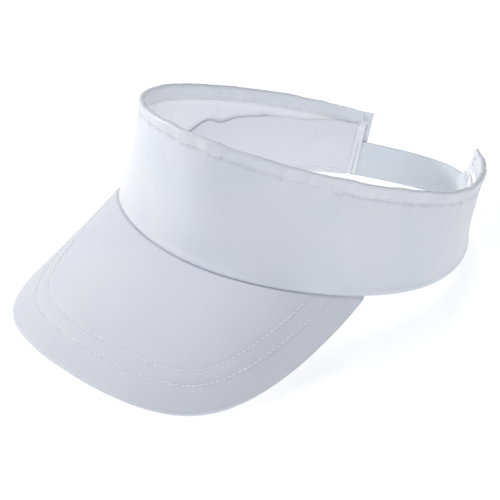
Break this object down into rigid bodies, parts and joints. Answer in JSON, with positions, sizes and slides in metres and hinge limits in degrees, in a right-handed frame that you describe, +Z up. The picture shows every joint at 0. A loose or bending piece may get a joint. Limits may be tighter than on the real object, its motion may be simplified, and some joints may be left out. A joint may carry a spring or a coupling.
{
  "type": "sun visor",
  "caption": "White fabric sun visor: stiffened headband open at the top, long curved brim with parallel stitching, and an adjustable strap closure at the back.",
  "frame": {"origin": "middle of the footprint on the surface the visor stands on, which the two brim corners and the back of the strap touch", "axes": "+Z up, -Y towards the front of the brim, +X towards the wearer's left"},
  "size_m": [0.1712, 0.2665, 0.1115],
  "materials": {
    "band_satin": "smooth, slightly satiny woven polyester",
    "brim_cloth": "matte plain-weave cloth",
    "lining_cloth": "matte lining cloth",
    "sweatband_cloth": "soft brushed towelling",
    "strap_cloth": "matte folded cloth strap",
    "fastener_loop": "fuzzy loop tape",
    "fastener_hook": "hook tape",
    "stiffener": "matte stiffening sheet",
    "thread": "polyester sewing thread"
  },
  "bodies": {
    "band": {"band_outer": "band_satin", "band_interfacing": "stiffener", "band_lining": "lining_cloth", "top_hem": "band_satin", "top_hem_stitch": "thread", "sweatband": "sweatband_cloth", "sweatband_stitch": "thread", "brim_seam_stitch": "thread", "end_hem_right": "band_satin", "end_stitch_right": "thread", "end_hem_left": "band_satin", "end_stitch_left": "thread", "brim_top_cover": "brim_cloth", "brim_under_cover": "brim_cloth", "brim_board": "stiffener", "brim_stitch_outer": "thread", "brim_stitch_inner": "thread", "loop_strap_root": "strap_cloth", "loop_root_stitch": "thread", "hook_tab_root": "strap_cloth", "hook_root_stitch": "thread"},
    "loop_strap": {"loop_strap": "strap_cloth", "loop_pad": "fastener_loop", "loop_pad_stitch": "thread"},
    "hook_tab": {"hook_tab": "strap_cloth", "hook_pad": "fastener_hook", "hook_pad_stitch": "thread"}
  },
  "joints": [
    {"name": "loop_strap_swing", "type": "hinge", "parent": "band", "child": "loop_strap", "pos_m": [-0.03592, 0.10357, 0.02007], "axis": [0.1339, 0.0956, 0.9864], "range_deg": [0, 70]},
    {"name": "hook_tab_swing", "type": "hinge", "parent": "band", "child": "hook_tab", "pos_m": [0.03584, 0.10293, 0.02132], "axis": [-0.1242, 0.1711, 0.9774], "range_deg": [0, 35]}
  ]
}
